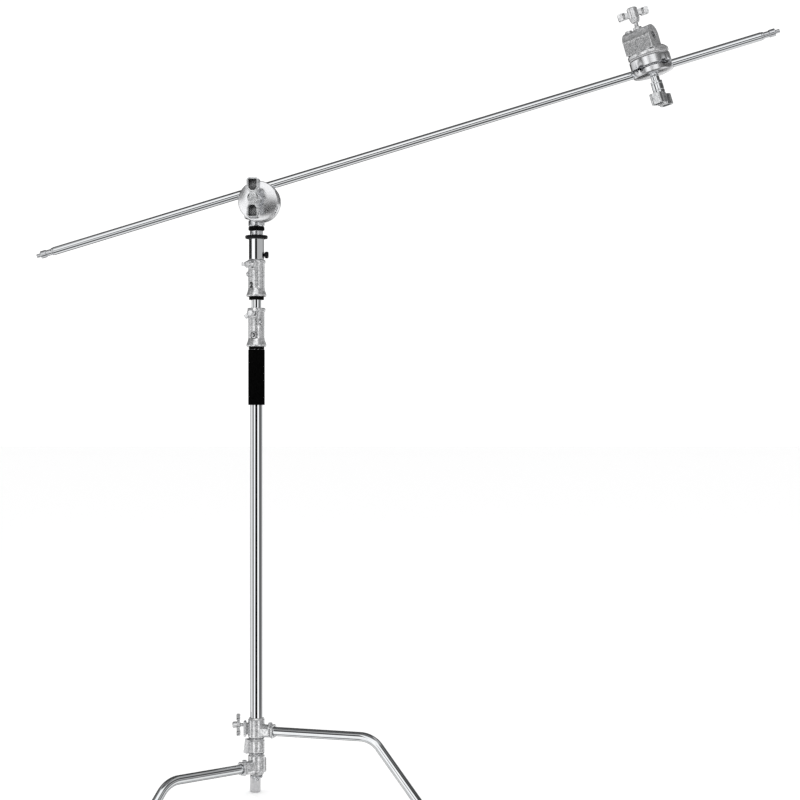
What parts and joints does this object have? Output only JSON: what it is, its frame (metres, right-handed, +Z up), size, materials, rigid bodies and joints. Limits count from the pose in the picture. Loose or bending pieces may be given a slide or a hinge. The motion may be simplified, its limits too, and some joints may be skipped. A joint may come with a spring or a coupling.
{
  "type": "c stand",
  "caption": "Light stand with three folding legs nested at different heights, a telescoping column, two grip heads with T-handles and a long boom arm.",
  "frame": {"origin": "on the floor, under the centre of the whole object's bounding box; the column stands 0.290 m to -X and 0.075 m to -Y of it", "axes": "+Z up along the column, +X to the right along the boom arm's long side, +Y away from the viewer, towards the side that the middle leg stands on"},
  "size_m": [1.4529, 0.5934, 1.6136],
  "materials": {
    "column_tube": "polished",
    "foam_sleeve": "matte foam",
    "band_lower": "matte black",
    "collar_1": "satin cast",
    "collar_1_rivet": "machined",
    "casting_top": "satin cast",
    "leg_top": "polished",
    "leg_screw_top": "machined",
    "foot_top": "matte grey",
    "washer_lower": "machined",
    "washer_upper": "machined",
    "bottom_plug": "machined",
    "casting_middle": "satin cast",
    "leg_middle": "polished",
    "leg_screw_middle": "machined",
    "foot_middle": "matte grey",
    "casting_bottom": "satin cast",
    "leg_bottom": "polished",
    "leg_screw_bottom": "machined",
    "foot_bottom": "matte grey",
    "base_knob": "satin cast",
    "collar_1_knob": "satin cast",
    "riser_1_tube": "polished",
    "riser_1_bush": "satin black",
    "band_upper": "matte black",
    "collar_2": "satin cast",
    "collar_2_rivet": "machined",
    "collar_2_knob": "satin cast",
    "riser_2_tube": "polished",
    "top_sleeve": "polished",
    "stud_flange": "satin black",
    "stud_spacer": "machined",
    "stud_ring": "matte black",
    "stud_seat": "machined",
    "stud": "machined",
    "lock_knob": "satin black",
    "head_1_body": "satin cast",
    "head_1_pad": "matte black",
    "head_1_set_knob": "satin cast",
    "head_1_inner_disc": "satin cast",
    "head_1_spring": "machined",
    "head_1_outer_disc": "satin cast",
    "head_1_collet": "polished",
    "head_1_handle": "satin cast",
    "head_1_bolt": "machined",
    "arm_tube": "polished",
    "arm_stud_left": "machined",
    "arm_stud_right": "machined",
    "head_2_inner_disc": "satin cast",
    "head_2_spring": "machined",
    "head_2_outer_disc": "satin cast",
    "head_2_collet": "polished",
    "head_2_handle": "satin cast",
    "head_2_bolt": "machined",
    "head_2_body": "satin cast",
    "head_2_pad": "matte black",
    "head_2_set_knob": "satin cast"
  },
  "bodies": {
    "base": {"column_tube": "column_tube", "foam_sleeve": "foam_sleeve", "band_lower": "band_lower", "collar_1": "collar_1", "collar_1_rivet": "collar_1_rivet", "casting_top": "casting_top", "leg_top": "leg_top", "leg_screw_top": "leg_screw_top", "foot_top": "foot_top", "washer_lower": "washer_lower", "washer_upper": "washer_upper", "bottom_plug": "bottom_plug"},
    "middle_leg": {"casting_middle": "casting_middle", "leg_middle": "leg_middle", "leg_screw_middle": "leg_screw_middle", "foot_middle": "foot_middle"},
    "bottom_leg": {"casting_bottom": "casting_bottom", "leg_bottom": "leg_bottom", "leg_screw_bottom": "leg_screw_bottom", "foot_bottom": "foot_bottom"},
    "base_knob": {"base_knob": "base_knob"},
    "collar_1_knob": {"collar_1_knob": "collar_1_knob"},
    "riser_1": {"riser_1_tube": "riser_1_tube", "riser_1_bush": "riser_1_bush", "band_upper": "band_upper", "collar_2": "collar_2", "collar_2_rivet": "collar_2_rivet"},
    "collar_2_knob": {"collar_2_knob": "collar_2_knob"},
    "riser_2": {"riser_2_tube": "riser_2_tube", "top_sleeve": "top_sleeve", "stud_flange": "stud_flange", "stud_spacer": "stud_spacer", "stud_ring": "stud_ring", "stud_seat": "stud_seat", "stud": "stud"},
    "lock_knob": {"lock_knob": "lock_knob"},
    "head_1_body": {"head_1_body": "head_1_body", "head_1_pad": "head_1_pad"},
    "head_1_set_knob": {"head_1_set_knob": "head_1_set_knob"},
    "head_1_jaw": {"head_1_inner_disc": "head_1_inner_disc", "head_1_spring": "head_1_spring"},
    "head_1_outer": {"head_1_outer_disc": "head_1_outer_disc", "head_1_collet": "head_1_collet"},
    "head_1_handle": {"head_1_handle": "head_1_handle", "head_1_bolt": "head_1_bolt"},
    "arm": {"arm_tube": "arm_tube", "arm_stud_left": "arm_stud_left", "arm_stud_right": "arm_stud_right"},
    "head_2_jaw": {"head_2_inner_disc": "head_2_inner_disc", "head_2_spring": "head_2_spring"},
    "head_2_outer": {"head_2_outer_disc": "head_2_outer_disc", "head_2_collet": "head_2_collet"},
    "head_2_handle": {"head_2_handle": "head_2_handle", "head_2_bolt": "head_2_bolt"},
    "head_2_body": {"head_2_body": "head_2_body", "head_2_pad": "head_2_pad"},
    "head_2_set_knob": {"head_2_set_knob": "head_2_set_knob"}
  },
  "joints": [
    {"name": "middle_leg_fold", "type": "hinge", "parent": "base", "child": "middle_leg", "pos_m": [-0.2895, -0.0751, 0.169], "axis": [0, 0, 1], "range_deg": [-105, 0]},
    {"name": "bottom_leg_fold", "type": "hinge", "parent": "base", "child": "bottom_leg", "pos_m": [-0.2895, -0.0751, 0.131], "axis": [0, 0, 1], "range_deg": [0, 112]},
    {"name": "base_knob_turn", "type": "hinge", "parent": "base", "child": "base_knob", "pos_m": [-0.2895, -0.0751, 0.2105], "axis": [-1, 0, 0], "range_deg": [0, 360]},
    {"name": "collar_1_knob_turn", "type": "hinge", "parent": "base", "child": "collar_1_knob", "pos_m": [-0.2895, -0.0751, 1.033], "axis": [-0.2588, -0.9659, 0], "range_deg": [0, 360]},
    {"name": "riser_1_slide", "type": "slide", "parent": "base", "child": "riser_1", "axis": [0, 0, 1], "range_m": [0, 0.72]},
    {"name": "collar_2_knob_turn", "type": "hinge", "parent": "riser_1", "child": "collar_2_knob", "pos_m": [-0.2895, -0.0751, 1.129], "axis": [-0.4226, -0.9063, 0], "range_deg": [0, 360]},
    {"name": "riser_2_slide", "type": "slide", "parent": "riser_1", "child": "riser_2", "axis": [0, 0, 1], "range_m": [0, 0.72]},
    {"name": "lock_knob_turn", "type": "hinge", "parent": "riser_2", "child": "lock_knob", "pos_m": [-0.2895, -0.0751, 1.15], "axis": [1, 0, 0], "range_deg": [0, 360]},
    {"name": "head_1_swivel", "type": "hinge", "parent": "riser_2", "child": "head_1_body", "pos_m": [-0.2895, -0.0751, 1.2507], "axis": [0, 0, 1], "continuous": true},
    {"name": "head_1_set_turn", "type": "hinge", "parent": "head_1_body", "child": "head_1_set_knob", "pos_m": [-0.29429, -0.12989, 1.2507], "axis": [0.0872, 0.9962, 0], "range_deg": [0, 360]},
    {"name": "head_1_tilt", "type": "hinge", "parent": "head_1_body", "child": "head_1_jaw", "pos_m": [-0.28035, -0.13111, 1.2507], "axis": [-0.0872, -0.9962, 0], "range_deg": [-85, 230]},
    {"name": "head_1_open", "type": "slide", "parent": "head_1_jaw", "child": "head_1_outer", "axis": [-0.0872, -0.9962, 0], "range_m": [0, 0.006]},
    {"name": "head_1_handle_turn", "type": "hinge", "parent": "head_1_outer", "child": "head_1_handle", "pos_m": [-0.28035, -0.13111, 1.2507], "axis": [-0.0872, -0.9962, 0], "range_deg": [0, 1080]},
    {"name": "arm_slide", "type": "slide", "parent": "head_1_jaw", "child": "arm", "axis": [0.9567, -0.0837, 0.2788], "range_m": [-0.5, 0.38]},
    {"name": "head_2_roll", "type": "hinge", "parent": "arm", "child": "head_2_jaw", "pos_m": [0.48302, -0.1979, 1.49817], "axis": [0.9567, -0.0837, 0.2788], "continuous": true},
    {"name": "head_2_open", "type": "slide", "parent": "head_2_jaw", "child": "head_2_outer", "axis": [0.2778, -0.0243, -0.9603], "range_m": [0, 0.006]},
    {"name": "head_2_handle_turn", "type": "hinge", "parent": "head_2_outer", "child": "head_2_handle", "pos_m": [0.48093, -0.22181, 1.49817], "axis": [0.2778, -0.0243, -0.9603], "range_deg": [0, 1080]},
    {"name": "head_2_turn", "type": "hinge", "parent": "head_2_jaw", "child": "head_2_body", "pos_m": [0.48093, -0.22181, 1.49817], "axis": [-0.2778, 0.0243, 0.9603], "continuous": true},
    {"name": "head_2_set_turn", "type": "hinge", "parent": "head_2_body", "child": "head_2_set_knob", "pos_m": [0.47318, -0.2333, 1.49622], "axis": [-0.2778, 0.0243, 0.9603], "range_deg": [0, 360]}
  ],
  "couplings": [
    {"joint": "head_1_handle_turn", "follows": "head_1_open", "rad_per_m": 3141.6},
    {"joint": "head_2_handle_turn", "follows": "head_2_open", "rad_per_m": 3141.6}
  ]
}
